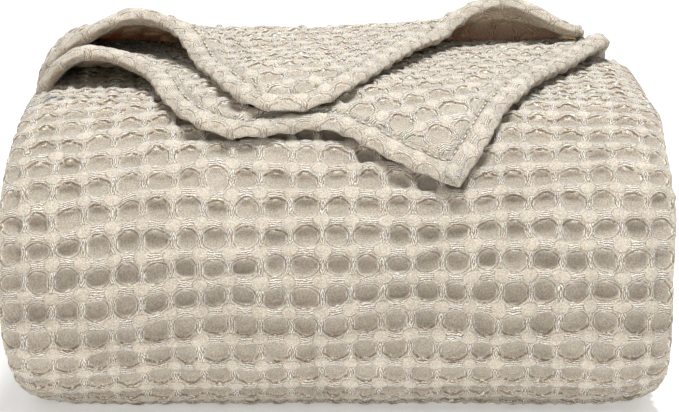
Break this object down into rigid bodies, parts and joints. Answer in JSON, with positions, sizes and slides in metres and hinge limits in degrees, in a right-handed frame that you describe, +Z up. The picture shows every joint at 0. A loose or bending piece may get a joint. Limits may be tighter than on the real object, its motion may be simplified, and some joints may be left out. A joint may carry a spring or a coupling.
{
  "type": "folded throw blanket",
  "caption": "Waffle-weave cotton throw folded into a thick bundle with a round front fold, its hemmed end turned forward over the top as two loose flaps",
  "frame": {"origin": "centre of the bundle's footprint, on the surface that it rests on", "axes": "+X runs along the front fold to the right, +Y points from the front fold to the back, +Z is up"},
  "size_m": [0.32, 0.236, 0.1803],
  "materials": {
    "waffle_cloth": "matt cotton waffle weave in natural linen colour, with lighter floating threads round each cell",
    "hem_cloth": "the same waffle cloth doubled under and pressed flatter by the sewing",
    "sewing_thread": "pale matt spun cotton lockstitch"
  },
  "bodies": {
    "bundle": {"outer_fold_bottom_leaf": "waffle_cloth", "outer_fold_lower_bend": "waffle_cloth", "middle_fold_bottom_leaf": "waffle_cloth", "middle_fold_front_bend": "waffle_cloth", "middle_fold_top_leaf": "waffle_cloth", "inner_fold_lower_leaf": "waffle_cloth", "inner_fold_upper_leaf": "waffle_cloth", "lower_back_turn": "waffle_cloth", "upper_back_turn": "waffle_cloth", "inner_end_hem": "hem_cloth"},
    "top_leaf": {"outer_fold_upper_bend": "waffle_cloth", "outer_fold_top_leaf": "waffle_cloth"},
    "lower_flap": {"lower_flap_cloth": "waffle_cloth", "lower_flap_left_loop": "waffle_cloth", "lower_flap_front_hem": "hem_cloth", "lower_flap_side_hem": "hem_cloth", "lower_flap_stitching": "sewing_thread"},
    "upper_flap": {"upper_flap_cloth": "waffle_cloth", "upper_flap_left_loop": "waffle_cloth", "upper_flap_right_loop": "waffle_cloth", "upper_flap_front_hem": "hem_cloth", "upper_flap_stitching": "sewing_thread"}
  },
  "joints": [
    {"name": "top_leaf_opening", "type": "hinge", "parent": "bundle", "child": "top_leaf", "pos_m": [0, -0.118, 0.0602], "axis": [1, 0, 0], "range_deg": [0, 35]},
    {"name": "lower_flap_lift", "type": "hinge", "parent": "top_leaf", "child": "lower_flap", "pos_m": [0, 0.106, 0.1462], "axis": [-1, 0, 0], "range_deg": [0, 60]},
    {"name": "upper_flap_lift", "type": "hinge", "parent": "lower_flap", "child": "upper_flap", "pos_m": [0, 0.106, 0.154], "axis": [-1, 0, 0], "range_deg": [0, 45]}
  ]
}
